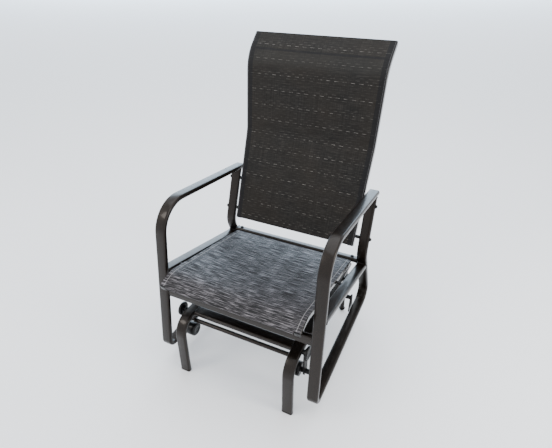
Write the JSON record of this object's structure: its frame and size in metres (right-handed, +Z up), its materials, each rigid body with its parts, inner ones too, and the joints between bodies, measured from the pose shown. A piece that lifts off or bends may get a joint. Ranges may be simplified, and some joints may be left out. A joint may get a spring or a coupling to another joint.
{
  "type": "outdoor glider chair",
  "caption": "High-backed outdoor glider chair: bent steel-tube frame with stretched mesh seat and back, swinging on links from a low floor base.",
  "frame": {"origin": "on the floor, under the middle of the bounding box", "axes": "+Z up; the chair faces -Y; +X to the right as seen from the front, across the chair; symmetric about X = 0"},
  "size_m": [0.6392, 0.7796, 1.1101],
  "materials": {
    "frame": "glossy dark bronze-grey powder coat with a fine hammered speckle",
    "sling_rail": "semi-gloss dark bronze-grey powder coat",
    "black_plastic": "black moulded plastic",
    "black_steel": "black-coated steel, semi-gloss",
    "back_cloth": "dark brown-black woven mesh with rows of short pale dashes",
    "seat_cloth": "blue-grey woven mesh with fine streaks across the seat"
  },
  "bodies": {
    "base": {"base_foot_front_left": "black_plastic", "base_foot_front_right": "black_plastic", "base_foot_rear_left": "black_plastic", "base_foot_rear_right": "black_plastic", "base_front_bar": "frame", "base_front_rod": "frame", "base_rear_bar": "frame", "base_rear_leg_left": "frame", "base_rear_leg_right": "frame", "base_side_left": "frame", "base_side_right": "frame", "upper_pivot_bolt_front_left": "black_steel", "upper_pivot_bolt_front_right": "black_steel", "upper_pivot_bolt_rear_left": "black_steel", "upper_pivot_bolt_rear_right": "black_steel"},
    "front_links": {"swing_link_front_left": "black_steel", "swing_link_front_right": "black_steel"},
    "rear_links": {"swing_link_rear_left": "black_steel", "swing_link_rear_right": "black_steel"},
    "seat": {"arm_plug_left": "black_plastic", "arm_plug_right": "black_plastic", "back_bolt_lower_left": "black_steel", "back_bolt_lower_right": "black_steel", "back_bolt_upper_left": "black_steel", "back_bolt_upper_right": "black_steel", "back_foot_plug_left": "black_plastic", "back_foot_plug_right": "black_plastic", "back_rail_left": "sling_rail", "back_rail_right": "sling_rail", "back_sling": "back_cloth", "back_spreader_lower": "sling_rail", "back_spreader_upper": "sling_rail", "back_top_plug_left": "black_plastic", "back_top_plug_right": "black_plastic", "front_crossbar": "frame", "lower_pivot_pin_front_left": "black_steel", "lower_pivot_pin_front_right": "black_steel", "lower_pivot_pin_rear_left": "black_steel", "lower_pivot_pin_rear_right": "black_steel", "pivot_lug_front_left": "frame", "pivot_lug_front_right": "frame", "pivot_lug_rear_left": "frame", "pivot_lug_rear_right": "frame", "rear_crossbar": "frame", "seat_bolt_front_left": "black_steel", "seat_bolt_front_right": "black_steel", "seat_bolt_rear_left": "black_steel", "seat_bolt_rear_right": "black_steel", "seat_nose_plug_left": "black_plastic", "seat_nose_plug_right": "black_plastic", "seat_rail_left": "frame", "seat_rail_right": "frame", "seat_sling": "seat_cloth", "seat_sling_rail_left": "sling_rail", "seat_sling_rail_right": "sling_rail", "seat_spreader_front": "sling_rail", "seat_spreader_rear": "sling_rail", "side_frame_left": "frame", "side_frame_right": "frame"}
  },
  "joints": [
    {"name": "front_link_swing", "type": "hinge", "parent": "base", "child": "front_links", "pos_m": [0, -0.2983, 0.236], "axis": [1, 0, 0], "range_deg": [-25, 25]},
    {"name": "seat_swing", "type": "hinge", "parent": "front_links", "child": "seat", "pos_m": [0, -0.2983, 0.15], "axis": [1, 0, 0], "range_deg": [-25, 25]},
    {"name": "rear_link_swing", "type": "hinge", "parent": "base", "child": "rear_links", "pos_m": [0, 0.1297, 0.236], "axis": [1, 0, 0], "range_deg": [-25, 25]}
  ],
  "couplings": [
    {"joint": "seat_swing", "follows": "front_link_swing", "ratio": -1},
    {"joint": "rear_link_swing", "follows": "front_link_swing", "ratio": 1}
  ]
}
